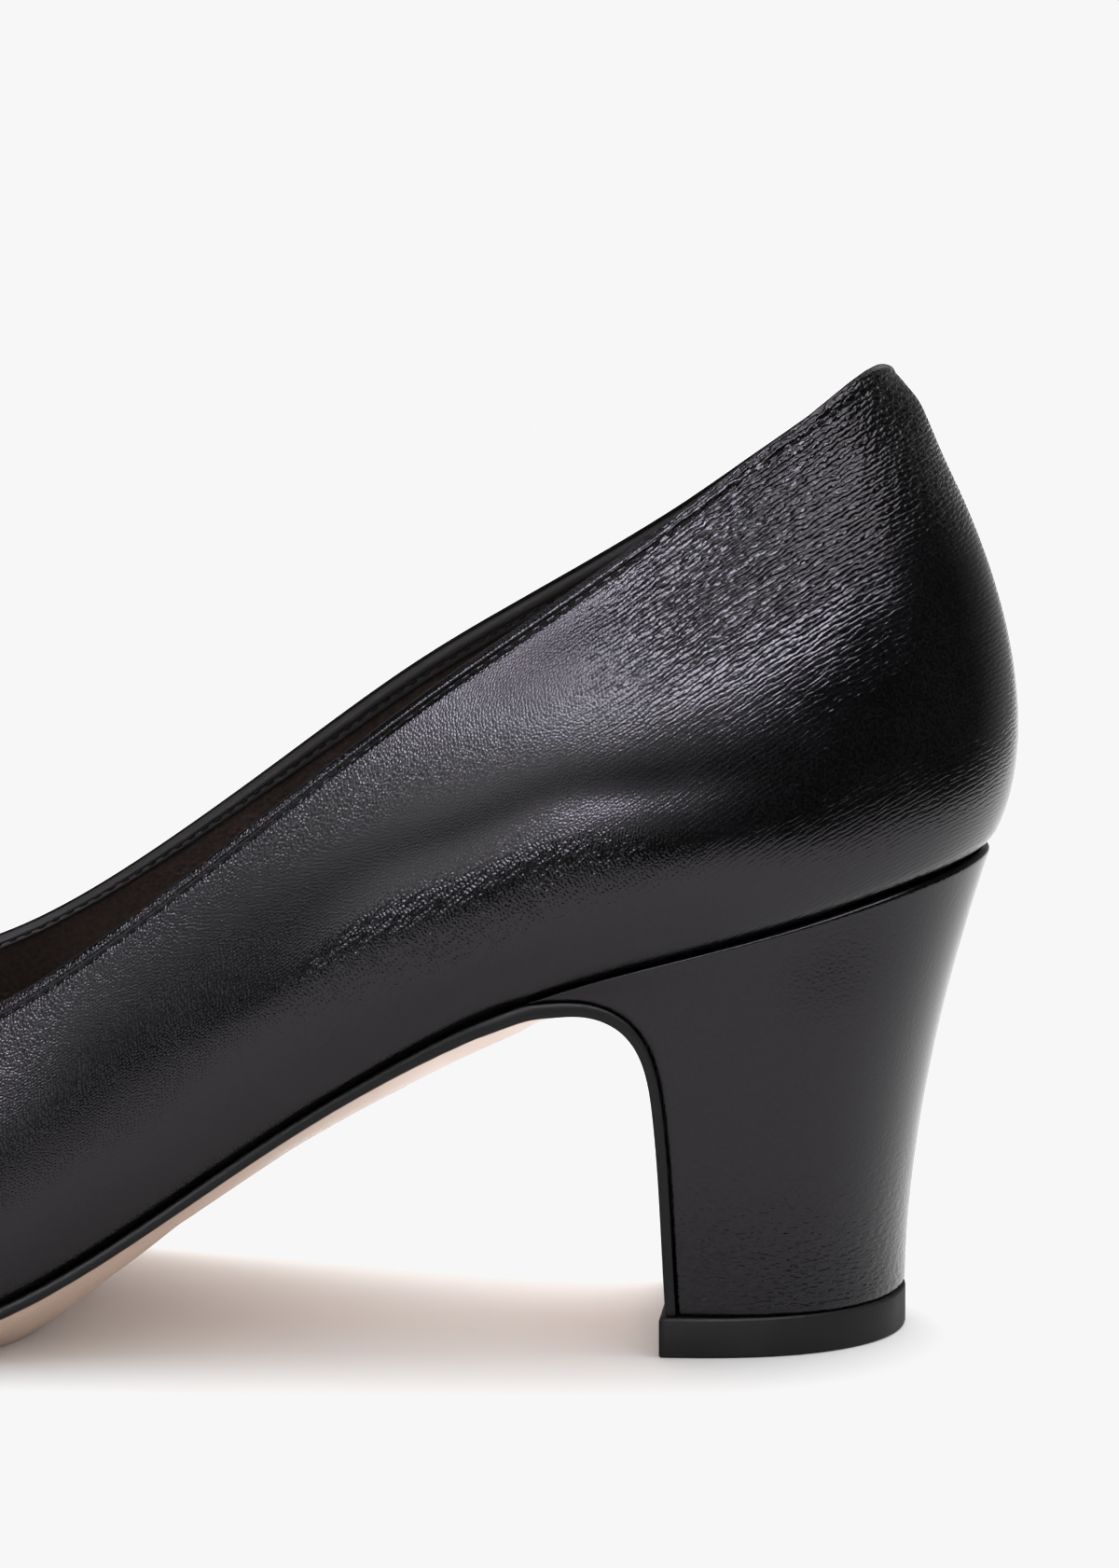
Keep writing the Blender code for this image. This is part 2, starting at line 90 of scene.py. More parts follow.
def unit(vectors):  # each vector divided by its own length
    return vectors / np.maximum(np.linalg.norm(vectors, axis=-1, keepdims=True), 1e-12)


def smoothStep(low, high, values):  # 3 t^2 - 2 t^3, t running from low to high
    share = np.clip((values - low) / (high - low), 0.0, 1.0)
    return share * share * (3.0 - 2.0 * share)


def bell(distance, width):  # exp(-(distance/width)^2)
    return np.exp(-(distance / width) ** 2)


def band(below, shape):  # height * bell(below - centre, width)
    centre, width, height = shape
    return height * bell(below - centre, width)


def travelled(points):  # length of the path through the points, up to each of them
    steps = np.linalg.norm(np.diff(points, axis=0), axis=-1)
    return np.concatenate([np.zeros_like(steps[:1]), np.cumsum(steps, axis=0)])


def quarterRound(depth, radius):  # how far a rounded edge falls back at a depth below it
    short = np.clip(radius - depth, 0.0, radius)
    return radius - np.sqrt(radius ** 2 - short ** 2)


def splineBends(knots, values, closed):  # second derivatives of the cubic spline through the rows
    count = len(knots)
    gaps = np.diff(knots)
    slopes = np.diff(values, axis=0) / gaps[:, None]
    inner = np.arange(1, count - 1)
    rows = np.eye(count)
    rows[inner, inner - 1] = gaps[:-1]
    rows[inner, inner] = 2.0 * (gaps[:-1] + gaps[1:])
    rows[inner, inner + 1] = gaps[1:]
    target = np.zeros_like(values)
    target[1:-1] = 6.0 * np.diff(slopes, axis=0)
    if closed:
        rows[0, [0, 1, -2]] = 2.0 * (gaps[0] + gaps[-1]), gaps[0], gaps[-1]
        rows[-1, [0, -1]] = 1.0, -1.0
        target[0] = 6.0 * (slopes[0] - slopes[-1])
    return np.linalg.solve(rows, target)


def splineAt(knots, values, places, closed=False):  # the spline's rows at any places between its knots
    bends = splineBends(knots, values, closed)
    i = np.clip(np.searchsorted(knots, places, side="right") - 1, 0, len(knots) - 2)
    gap = (knots[i + 1] - knots[i])[:, None]
    after = (places - knots[i])[:, None] / gap
    before = 1.0 - after
    bow = (before ** 3 - before) * bends[i] + (after ** 3 - after) * bends[i + 1]
    return before * values[i] + after * values[i + 1] + bow * gap ** 2 / 6.0


def gridFaces(rows, columns, closedColumns=False):  # quads of a grid of points, row by row
    ends = columns if closedColumns else columns - 1
    here = np.arange(ends)
    after = (here + 1) % columns
    start = np.arange(rows - 1)[:, None] * columns
    quads = np.stack([start + here, start + after, start + columns + after, start + columns + here], axis=-1)
    return quads.reshape(-1, 4)


# one mesh from table points in millimetres, with a value or a vector per point for each mark
def addPiece(name, points, faces, replaced=None, flip=False, marks=None):
    mesh = bpy.data.meshes.new(name)
    places = np.asarray(points, float).reshape(-1, 3) * mm + tableOrigin
    mesh.from_pydata(places, [], (faces[:, ::-1] if flip else faces).tolist())
    for markName, values in (marks or {}).items():
        flat = np.asarray(values, np.float32)
        single = flat.ndim == 2
        mark = mesh.attributes.new(markName, "FLOAT" if single else "FLOAT_VECTOR", "POINT")
        mark.data.foreach_set("value" if single else "vector", flat.ravel())
    merged = bmesh.new()
    merged.from_mesh(mesh)
    bmesh.ops.remove_doubles(merged, verts=merged.verts, dist=mergeWithin)
    bmesh.ops.dissolve_degenerate(merged, edges=merged.edges, dist=mergeWithin)
    merged.to_mesh(mesh)
    merged.free()
    mesh.validate()
    mesh.shade_smooth()
    piece = bpy.data.objects.new(name, mesh)
    bpy.context.scene.collection.objects.link(piece)
    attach(piece, "root")
    if replaced:
        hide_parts(replaced)
    print(name, len(mesh.polygons), "faces")
    return piece


def addRings(name, grid, replaced, marks=None, flip=True):  # a piece whose rows are closed rings
    return addPiece(name, grid, gridFaces(len(grid), grid.shape[1], True), replaced, flip, marks)


# the wall of the upper

def lastSide(out, height, sign):  # feather point, topline point and swell of one side, row by row
    feather, topline, swell = [np.array(last[name]) for name in ("feather", "topline", "swell")]
    return np.column_stack([
        -feather[:, 0], sign * feather[:, out], feather[:, 1],
        -topline[:, 0], sign * topline[:, out - 1], topline[:, height], swell,
    ])


def lastLoop(count):  # every column of the tables round the shoe, medial side first, at even places
    medial = lastSide(2, 3, -1.0)
    lateral = lastSide(3, 4, 1.0)
    chords = 0.5 * (np.linalg.norm(np.diff(medial[:, :2], axis=0), axis=1)
                    + np.linalg.norm(np.diff(lateral[:, :2], axis=0), axis=1))
    knots = np.concatenate([[0.0], np.cumsum(np.concatenate([chords, chords[::-1]]))])
    values = np.concatenate([medial, lateral[-2::-1]])
    return splineAt(knots, values, np.arange(count) / count * knots[-1], closed=True)


def outward(feather):  # level direction away from the shoe along the closed feather edge
    run = np.roll(feather, -1, axis=0) - np.roll(feather, 1, axis=0)
    return -unit(np.column_stack([run[:, 1], -run[:, 0], np.zeros(len(run))]))


def wallCurve(loop):  # four control points of the wall's cubic curve at each place round the shoe
    feather, topline = loop[:, 0:3], loop[:, 3:6]
    away = outward(feather)
    lift = np.array([0.0, 0.0, 1.0])
    foot = feather + away * loop[:, 6:7] + lift * loop[:, 7:8]
    head = topline + away * loop[:, 8:9] - lift * loop[:, 9:10]
    return feather, foot, head, topline


def cubicPoints(curve, rise):  # the cubic curve of four control points, its foot at 0 and its head at 1
    first, second, third, fourth = curve
    rise = rise[..., None]
    fall = 1.0 - rise
    return (fall ** 3 * first + 3 * fall ** 2 * rise * second
            + 3 * fall * rise ** 2 * third + rise ** 3 * fourth)


def wallLengths(curve, samples=240):  # distance below the topline at even steps down each curve
    rise = np.linspace(1.0, 0.0, samples)
    table = travelled(cubicPoints(curve, np.repeat(rise[:, None], len(curve[0]), axis=1)))
    return rise, table


def wallPoints(curve, rise, table, below):  # points of the wall at given distances below the topline
    i = np.clip((table[None] < below[:, None]).sum(axis=1), 1, len(rise) - 1)
    low = np.take_along_axis(table, i - 1, axis=0)
    high = np.take_along_axis(table, i, axis=0)
    share = np.clip((below - low) / (high - low), 0.0, 1.0)
    return cubicPoints(curve, rise[i - 1] + share * (rise[i] - rise[i - 1]))


def wallNormals(points):  # outward direction of a grid whose rows run down and columns round the shoe
    across = np.roll(points, -1, axis=1) - np.roll(points, 1, axis=1)
    down = np.gradient(points, axis=0)
    return unit(np.cross(across, down))


# Soft fold in the quarter: along and up of its crest, its height, its width above the crest
# and the depth of the trough further up
crease = {
    "rows": [
        (20.0, 60.5, 0.00, 4.5, 0.00), (29.4, 60.4, 0.25, 4.4, 0.20), (39.5, 59.2, 0.68, 5.0, 0.32),
        (50.0, 57.5, 0.95, 5.2, 0.24), (60.7, 52.6, 1.12, 5.0, 0.16), (71.0, 48.8, 1.05, 4.4, 0.08),
        (82.0, 42.0, 0.55, 4.0, 0.00), (94.0, 35.5, 0.00, 3.6, 0.00),
    ],
    "widthBelow": 8.0,
    "troughAbove": 7.7,
    "troughWidth": 2.4,
    "outerShare": 0.35,  # the same form on the outer side, weaker
}


def creaseHeight(points):  # height * bell(distance, width), steeper above, less a trough of the same form
    table = np.array(crease["rows"])
    along, up = table[:, 0], table[:, 1]
    steps = np.arange(len(along)) * 1.0
    knots = np.interp(-points[..., 0], along, steps)
    rows = splineAt(steps, table, knots.ravel()).reshape(knots.shape + table.shape[1:])
    slope = np.gradient(up, along)
    lean = 1.0 / np.sqrt(1.0 + np.interp(-points[..., 0], along, slope) ** 2)
    distance = (points[..., 2] - rows[..., 1]) * lean
    reach = np.where(distance > 0.0, rows[..., 3], crease["widthBelow"])
    ridge = np.maximum(rows[..., 2], 0.0) * bell(distance, reach)
    trough = np.maximum(rows[..., 4], 0.0) * bell(distance - crease["troughAbove"], crease["troughWidth"])
    side = np.where(points[..., 1] < 0.0, 1.0, crease["outerShare"])
    return side * (ridge - trough), side * np.clip(ridge, 0.0, 1.0)


upper = {
    "columns": 960,
    "wallRows": 58,
    "rowMix": (0.45, 0.55),  # shares of rows crowded at both ends and of even rows
    # distances of the first rows below the topline
    "edge": [
        0.0, 0.03, 0.08, 0.15, 0.24, 0.34, 0.45, 0.58, 0.72, 0.87,
        1.02, 1.16, 1.28, 1.40, 1.52, 1.66, 1.82, 2.0, 2.3,
    ],
    # centre below the topline, width and height of bands round the edge
    "groove": (1.66, 0.28, 0.13),  # stitch groove
    "puff": (0.95, 0.45, 0.12),  # fullness of the folded edge above the groove
    "swell": (4.0, 5.5, 0.95),  # fullness under the back corner
    "dip": (1.66, 0.25, 0.16),  # stitch groove of the facing
    "foldRound": 0.34,  # radius of the fold on the outer side
    "roundRow": 30,  # row from the foot along which the way round the shoe is measured
    "backReach": 8.0,  # half width of the back corner
    "backThicker": 2.2,  # how much thicker and rounder the edge is there
    "swellFrom": (0.5, 6.0),
    "flatShare": 0.7,  # how much of groove and puff goes at the middle of the back
    "flatReach": 3.0,
    # along and lift of the folded edge above the last's topline
    "lift": [
        (15.2, 1.0), (16.5, 1.35), (18.0, 1.5), (20.0, 1.4), (25.0, 0.8), (32.0, 0.75),
        (40.0, 0.5), (60.0, 0.3), (174.0, 0.2),
    ],
    "liftReach": 7.0,  # the lift fades over this distance down the wall
    "innerDrop": 0.22,  # the medial edge sits this much lower between two places along
    "innerFrom": (44.0, 56.0),
    "innerTo": (-116.0, -108.0),
    "hollow": 0.14,  # shallow hollow a little way under the stitches, in the back half
    "hollowBelow": 3.9,
    "hollowWidth": (1.5, 2.6),
    "hollowFrom": (-62.0, -38.0),
    "creaseFrom": (2.0, 8.0),  # the fold in the quarter starts this far above the foot
    "footRoll": (2.2, 1.5),  # height of the rolled lower edge over the heel and along the sole
    "footInset": (1.0, 0.5),
    "footDrop": (0.34, 0.58),  # how far it reaches down to the seat and the sole
    "footForward": (56.0, 76.0),
    "tuck": 1.4,  # how far the wall turns in under the foot
    # along and share of the folded facing's full width
    "facing": [(80.0, 1.0), (95.0, 0.72), (112.0, 0.45)],
    "facingStep": 0.40,  # how far the facing stands proud of the lining
    "hemReach": 1.3,
    "hemGrain": (0.6, 0.3),
}


# points, normals, distance below the topline and above the foot, in rows from the topline down
def upperWall(columns, below):
    curve = wallCurve(lastLoop(columns))
    rise, table = wallLengths(curve)
    length = table[-1]
    edge, share = below
    rows = np.concatenate([
        np.repeat(np.array(edge)[:, None], columns, axis=1),
        edge[-1] + np.array(share)[:, None] * (length - edge[-1]),
    ])
    points = wallPoints(curve, rise, table, rows)
    return points, wallNormals(points), rows, length - rows


def footRoll(points, above):  # in by inset * t^2 and down by drop * t, t = 1 - above/height
    forward = smoothStep(*upper["footForward"], -points[..., 0])
    pairs = [upper[name] for name in ("footRoll", "footInset", "footDrop")]
    roll, inset, drop = [low + (high - low) * forward for low, high in pairs]
    t = np.clip(1.0 - above / roll, 0.0, 1.0)
    return inset * t ** 2, drop * t


# the wall pushed along its normal: rounded top edge, stitch groove, fold, rolled foot; then the facing
def makeUpper():
    columns, wall, edge = upper["columns"], last["wall"], upper["edge"]
    even = np.linspace(0.0, 1.0, upper["wallRows"] + 1)[1:]
    crowded, plain = upper["rowMix"]
    share = crowded * (0.5 - 0.5 * np.cos(np.pi * even)) + plain * even
    points, normals, below, above = upperWall(columns, (edge, share))
    groove, puff, swell = [band(below, upper[name]) for name in ("groove", "puff", "swell")]
    away = outward(points[-1])
    level = points[-upper["roundRow"]]
    run = travelled(np.concatenate([level, level[:1]]))
    fromBack = np.minimum(run, run[-1] - run)[:-1]
    atBack = bell(fromBack, upper["backReach"])
    thick = wall + upper["backThicker"] * atBack
    foldRound = upper["foldRound"] + 0.5 * upper["backThicker"] * atBack
    top = quarterRound(below, foldRound)
    deep = below - upper["hollowBelow"]
    hollow = upper["hollow"] * bell(deep, np.where(deep < 0.0, *upper["hollowWidth"]))
    hollow = hollow * smoothStep(*upper["hollowFrom"], points[..., 0])
    swell = swell * atBack * smoothStep(*upper["swellFrom"], below)
    flat = 1.0 - upper["flatShare"] * bell(fromBack, upper["flatReach"])
    fold, onFold = creaseHeight(points)
    fold = fold * smoothStep(*upper["creaseFrom"], above)
    push = (puff - groove - hollow) * flat - top + swell + fold
    rollIn, rollDown = footRoll(points, above)
    outer = points + normals * push[..., None] - away * rollIn[..., None]
    x, y = points[0, :, 0], points[0, :, 1]
    lift = np.interp(-x, *np.array(upper["lift"]).T)
    dropped = smoothStep(*upper["innerTo"], x) * smoothStep(*upper["innerFrom"], -x) * (y < 0.0)
    lift = lift - upper["innerDrop"] * dropped
    raised = lift * (1.0 - smoothStep(0.0, upper["liftReach"], below))
    outer[..., 2] += raised - rollDown
    tucked = outer[-1:] - away * upper["tuck"]

    # inside of the collar, from the end of the facing up to the topline
    inside = np.arange(len(edge))[::-1]
    facing = below[inside] * np.interp(-x, *np.array(upper["facing"]).T)
    curve = wallCurve(lastLoop(columns))
    bare = wallPoints(curve, *wallLengths(curve), facing)
    depth = thick - quarterRound(facing, thick - foldRound) - band(below[inside], upper["dip"])
    inner = bare - normals[inside] * depth[..., None]
    inner[..., 2] += raised[inside]
    lip = inner[:1] + (inner[:1] - inner[1:2])
    hem = lip + normals[inside[:1]] * (upper["facingStep"] * upper["hemReach"] + thick - wall)[:, None]
    grid = np.concatenate([hem, lip, inner[:-1], outer, tucked])
    hemDown = [-below[inside[:1]] - step for step in upper["hemGrain"]]
    down = np.concatenate([*hemDown, -below[inside][:-1], below, below[-1:] + upper["tuck"]])
    grain = np.stack([np.broadcast_to(fromBack, down.shape), down, np.zeros_like(down)], axis=-1)
    onFold = np.concatenate([np.zeros((len(inner) + 1, columns)), onFold, onFold[-1:]])
    marks = {"grain": grain * mm, "fold": onFold}
    piece = addRings("upper_leather", grid, "upper", marks, flip=False)
    seam = edge.index(upper["groove"][0])
    return piece, outer[seam], inner[::-1][seam], normals[seam]


lining = {"columns": 480, "rows": 44, "edge": [0.9, 1.7, 2.6]}


def makeLining():  # the bare wall, further in, from under the facing down to the insole
    below = (lining["edge"], np.linspace(0.0, 1.0, lining["rows"] + 1)[1:])
    points, normals, _, above = upperWall(lining["columns"], below)
    depth = last["wall"] - upper["facingStep"] + footRoll(points, above)[0]
    return addRings("collar_lining", points - normals * depth[..., None], None)


stitch = {
    "pitch": 1.93,
    "length": 1.30,
    "thick": 0.42,
    "lift": (-0.04, 0.02),  # lift of the row outside and of the row on the facing
    "dive": 0.16,  # how far the ends go down into the leather
    "rings": 9,
    "sides": 8,
    "plainBack": 17.6,  # no stitches round the back corner
}


# short threads along the groove: half length * a along, radius * sqrt(1 - a^4)
def makeStitches(name, path, normals, lift):
    closed, closedNormals = [np.concatenate([rows, rows[:1]]) for rows in (path, normals)]
    length = travelled(closed)
    count = int(round(length[-1] / stitch["pitch"]))
    centre = (np.arange(count) + 0.5) / count * length[-1]
    centre = centre[np.interp(centre, length, closed[:, 0]) < -stitch["plainBack"]]
    a = np.linspace(-1.0, 1.0, stitch["rings"])
    places = centre[:, None] + a * 0.5 * stitch["length"]
    spine = np.stack([np.interp(places, length, column) for column in closed.T], axis=-1)
    out = unit(np.stack([np.interp(places, length, column) for column in closedNormals.T], axis=-1))
    run = unit(np.gradient(spine, axis=1))
    across = unit(np.cross(run, out))
    turn = np.linspace(0.0, 2.0 * np.pi, stitch["sides"], endpoint=False)
    radius = 0.5 * stitch["thick"] * np.sqrt(np.maximum(1.0 - a ** 4, 0.0))
    dive = lift - stitch["dive"] * a ** 4
    around = out[:, :, None] * np.cos(turn)[:, None] + across[:, :, None] * np.sin(turn)[:, None]
    points = spine[:, :, None] + out[:, :, None] * dive[:, None, None] + around * radius[:, None, None]
    block = gridFaces(stitch["rings"], stitch["sides"], True)
    starts = np.arange(len(centre))[:, None, None] * stitch["rings"] * stitch["sides"]
    return addPiece(name, points, (starts + block).reshape(-1, 4))


# sole, heel and insole

def featherSides(count, proud):  # medial and lateral points of the feather edge, heel to toe
    feather = lastLoop(2 * count)[:, 0:3]
    edge = feather + outward(feather) * proud
    return edge[:count + 1], np.concatenate([edge[:1], edge[:count - 1:-1]])


def sideNormal(path):  # direction out of the sole in side view, for a path towards the heel
    run = np.gradient(path, axis=0)
    return unit(np.column_stack([run[:, 2], np.zeros(len(run)), -run[:, 0]]))


sole = {
    "proud": 0.5,
    "gap": 0.3,
    "bed": 1.1,
    "crownPower": 3.0,
    "edgeBulge": 0.24,
    "edgePower": 0.6,
    "edgeDrop": 0.30,  # the edge is this much thinner forward of the heel
    "edgeFrom": (60.0, 74.0),
    "tipWidth": 4.0,  # a narrower sole bulges less
    "flapProud": 0.1,
    # along, edge thickness, crown of the underside
    "sizes": [
        (60.0, 1.5, 3.8), (72.0, 1.5, 3.8), (84.0, 1.5, 3.2), (97.0, 1.5, 3.2), (106.0, 1.5, 4.4),
        (117.0, 1.5, 7.0), (132.0, 1.6, 5.0), (182.0, 1.6, 3.6), (219.0, 1.5, 2.4), (237.6, 1.5, 0.2),
    ],
    # along, up, edge thickness and crown where the sole rounds the arch and runs down the breast
    "breast": [
        (57.2, 40.2, 1.6, 3.4), (54.2, 41.2, 1.7, 2.7), (51.0, 41.5, 1.7, 1.9), (48.0, 41.4, 1.6, 1.3),
        (45.2, 40.6, 1.5, 1.0), (42.8, 39.0, 1.4, 0.8), (41.0, 36.6, 1.3, 0.6), (39.8, 33.2, 1.2, 0.5),
        (39.0, 28.0, 1.2, 0.4), (38.4, 20.0, 1.2, 0.4), (38.0, 12.0, 1.2, 0.4), (37.6, 4.9, 1.2, 0.4),
    ],
    "stations": 420,
    "flapStations": 110,
    "across": 48,
    "topStep": 4,  # the hidden top needs fewer points
    "edgeSteps": 7,
}
heel = {
    "proud": 0.2,
    "footInset": 0.4,
    "backInset": 0.05,
    "seatFront": 54.2,
    "backFlare": 1.77,
    "sideFlare": 1.6,
    "seatBow": 4.0,
    "seatRound": 0.9,
    "footTuck": 0.25,
    "tuckHeight": 0.35,
    "rimSpread": 24.0,  # half breadth by which the rounded rims are drawn in
    "backPower": 8,
    "layers": 84,
    "layerPower": 0.9,
    "rimLayers": [0.004, 0.009, 0.016, 0.980, 0.9845, 0.988, 0.991, 0.994, 0.9965, 0.9985],
    "sideSteps": 64,
    "frontSteps": 20,
    "samples": (600, 800, 400),  # points along the feather edge, the seat and the breast
}
footUp = topPieceSize["height"] + sole["gap"]


def breastPath(count):  # along, up, edge and crown at even places of the spline through the breast
    along, up, edge, crown = np.array(sole["breast"]).T
    rows = np.column_stack([-along, np.zeros(len(along)), up, edge, crown])
    knots = travelled(rows[:, :3])
    return splineAt(knots, rows, np.linspace(0.0, knots[-1], count))


def seatBreadth(along):  # medial and lateral half breadth of the heel's seat
    medial, lateral = featherSides(heel["samples"][0], heel["proud"])
    return np.column_stack([
        np.interp(along, -medial[:, 0], -medial[:, 1]), np.interp(along, -lateral[:, 0], lateral[:, 1]),
    ])


def seatHeight(along):  # height of the seat, a gap below the feather edge
    rows = np.array(last["feather"])[:, :2]
    dense = splineAt(rows[:, 0], rows, np.linspace(rows[0, 0], rows[-1, 0], heel["samples"][1]))
    return np.interp(along, dense[:, 0], dense[:, 1]) - sole["gap"]


def lineAcross(medial, lateral, steps):  # points from edge to edge, close together at both, and their places
    place = np.sin(np.linspace(-0.5, 0.5, steps + 1) * np.pi)
    return place, medial[:, None] + 0.5 * (place[:, None] + 1.0) * (lateral - medial)[:, None]


def makeSole():  # closed crowned sections at stations from the toe to the foot of the breast
    medial, lateral = featherSides(sole["stations"], sole["proud"])
    along, edge, crown = np.array(sole["sizes"]).T
    under = -0.5 * (medial[:, 0] + lateral[:, 0]) >= along[0]
    medial, lateral = medial[under][::-1], lateral[under][::-1]
    middle = -0.5 * (medial[:, 0] + lateral[:, 0])
    thinner = sole["edgeDrop"] * smoothStep(*sole["edgeFrom"], middle)
    drop = np.array([0.0, 0.0, 1.0]) * (sole["gap"] + thinner)[:, None]
    medial, lateral = medial - drop, lateral - drop
    path = breastPath(sole["flapStations"])
    climb = np.linspace(1.0, 0.0, len(path))[:, None] ** heel["sideFlare"]
    foot = topPieceSize["halfWidth"] - heel["footInset"]
    reach = foot + climb * (seatBreadth(np.array([heel["seatFront"]])) - foot) + sole["flapProud"]
    sideways = np.array([0.0, 1.0, 0.0])
    medial = np.concatenate([medial, path[:, :3] - reach[:, :1] * sideways])
    lateral = np.concatenate([lateral, path[:, :3] + reach[:, 1:] * sideways])
    edges = np.concatenate([np.interp(middle, along, edge) - thinner, path[:, 3]])
    crowns = np.concatenate([np.interp(middle, along, crown), path[:, 4]])
    bed = np.concatenate([np.full(len(middle), sole["bed"]), np.linspace(sole["bed"], 0.0, len(path))])
    normal = sideNormal(0.5 * (medial + lateral))
    normal[-1] = -1.0, 0.0, 0.0

    place, line = lineAcross(medial, lateral, sole["across"])
    width = lateral - medial
    top = line + normal[:, None] * (bed[:, None] * (1.0 - place ** 2))[..., None]
    depth = edges[:, None] + crowns[:, None] * (1.0 - np.abs(place) ** sole["crownPower"])
    bottom = line + normal[:, None] * depth[..., None]
    fall = (np.arange(sole["edgeSteps"]) + 0.5) / sole["edgeSteps"]
    bulge = (sole["edgeBulge"] * np.sin(np.pi * fall) ** sole["edgePower"])[:, None]
    breadth = np.linalg.norm(width, axis=1)
    outwards = unit(width)[:, None] * np.minimum(1.0, breadth / sole["tipWidth"])[:, None, None]
    drops = normal[:, None] * (edges[:, None] * fall)[..., None]
    lateralEdge = lateral[:, None] + outwards * bulge + drops
    medialEdge = (medial[:, None] - outwards * bulge + drops)[:, ::-1]
    top = top[:, ::sole["topStep"]]
    grid = np.concatenate([top, lateralEdge, bottom[:, ::-1], medialEdge], axis=1)
    grid[..., 2] = np.maximum(grid[..., 2], 0.0)

    fromEdge = np.concatenate([
        np.zeros(top.shape[:2]), np.zeros(lateralEdge.shape[:2]),
        0.5 * breadth[:, None] * (1.0 - np.abs(place[::-1])), np.zeros(medialEdge.shape[:2]),
    ], axis=1)
    end = 0.5 * (grid[-1:].min(axis=1, keepdims=True) + grid[-1:].max(axis=1, keepdims=True))
    grid = np.concatenate([grid, np.repeat(end, grid.shape[1], axis=1)])
    fromEdge = np.concatenate([fromEdge, fromEdge[-1:]])
    return addRings("sole_leather", grid, "outsole", {"fromEdge": fromEdge * mm})


# closed rings of lateral side, medial side and straight front, with a cap drawn to the middle at both ends
def wrapLayers(along, medialHalf, lateralHalf, up, frontSteps):
    medial = np.stack([-along, -medialHalf, up], axis=-1)
    lateral = np.stack([-along, lateralHalf, up], axis=-1)
    across = np.linspace(0.0, 1.0, frontSteps + 2)[1:-1, None]
    front = medial[:, :1] + across * (lateral[:, :1] - medial[:, :1])
    grid = np.concatenate([lateral, medial[:, -2::-1], front], axis=1)
    centre = grid * np.array([1.0, 0.0, 1.0])
    return np.concatenate([centre[:1], grid, centre[-1:]])


def footHalfWidth(backShare):  # half width of the top piece from its straight front to its round back
    return topPieceSize["halfWidth"] * np.sqrt(np.maximum(1.0 - backShare ** topPieceSize["round"], 0.0))


def heelFront(climbs):  # front edge of the heel in side view, from its foot up to the wing tips
    path = breastPath(heel["samples"][2])[:, :3]
    front = (path - sideNormal(path) * sole["gap"])[::-1]
    front[0, 2] = footUp
    length = travelled(front)
    reach = climbs * np.interp(heel["seatFront"], -front[:, 0], length)
    return np.interp(reach, length, -front[:, 0]), np.interp(reach, length, front[:, 2])


def makeHeel():  # layers from foot to seat; sides and back flare by powers of the climb, edges rounded
    share = np.sin(np.linspace(0.0, 0.5 * np.pi, heel["sideSteps"]))
    climbs = np.linspace(0.0, 1.0, heel["layers"]) ** heel["layerPower"]
    climbs = np.sort(np.concatenate([climbs, heel["rimLayers"]]))
    nose, noseUp = heelFront(climbs)
    footBack = topPieceSize["back"] + heel["backInset"]
    seatBack = last["feather"][0][0] - heel["proud"]
    seatAlong = nose[-1] + share * (seatBack - nose[-1])
    seatUp = seatHeight(seatAlong)
    seatBend = seatUp - seatUp[0] - share * (seatUp[-1] - seatUp[0])
    noseUp[-1] = seatUp[0]
    seat = seatBreadth(seatAlong)
    foot = np.maximum(footHalfWidth(share) - heel["footInset"], 0.0)[:, None]
    climb = climbs[:, None]
    back = footBack + (seatBack - footBack) * climb ** heel["backFlare"]
    backUp = footUp + (seatUp[-1] - footUp) * climb
    along = nose[:, None] + share * (back - nose[:, None])
    up = noseUp[:, None] + share * (backUp - noseUp[:, None]) + seatBend * climb ** heel["seatBow"]
    tall = seatUp[-1] - footUp
    tuck = heel["footTuck"] * bell(climb * tall, heel["tuckHeight"])
    fallBack = quarterRound((1.0 - climb) * tall, heel["seatRound"]) + tuck
    spread = foot + (seat - foot) * climb[..., None] ** heel["sideFlare"]
    spread = spread * (1.0 - fallBack[..., None] / heel["rimSpread"])
    along = along + fallBack * share ** heel["backPower"]
    grid = wrapLayers(along, spread[..., 0], spread[..., 1], up, heel["frontSteps"])
    return addRings("heel_cover", grid, "heel")


topPiece = {
    # height and inset of each layer
    "layers": [(0.0, 0.30), (0.12, 0.08), (0.35, 0.0), (4.25, 0.0), (4.5, 0.06), (4.6, 0.2)],
    "sideSteps": 60,
    "frontSteps": 20,
}


def makeTopPiece():  # the D outline at each height, drawn in a little at both rims
    share = np.sin(np.linspace(0.0, 0.5 * np.pi, topPiece["sideSteps"]))
    height, inset = np.array(topPiece["layers"]).T
    front, back = topPieceSize["front"], topPieceSize["back"]
    along = (front - inset)[:, None] + share * (back - front + 2.0 * inset)[:, None]
    half = footHalfWidth(share) * (1.0 - inset / topPieceSize["halfWidth"])[:, None]
    level = np.repeat(height[:, None], len(share), axis=1)
    grid = wrapLayers(along, half, half, level, topPiece["frontSteps"])
    return addRings("top_piece_rubber", grid, "top_piece")


insole = {
    "inset": 2.4,
    "thick": 2.6,
    "narrowest": 5.0,
    "stations": 300,
    "across": 40,
    "edgeLift": 0.5,  # the rim is turned up a little against the lining
    "edgePower": 6,
    "rimReach": 20.0,  # half width over which the rim's rounding is measured
    "rimRound": 0.8,
}


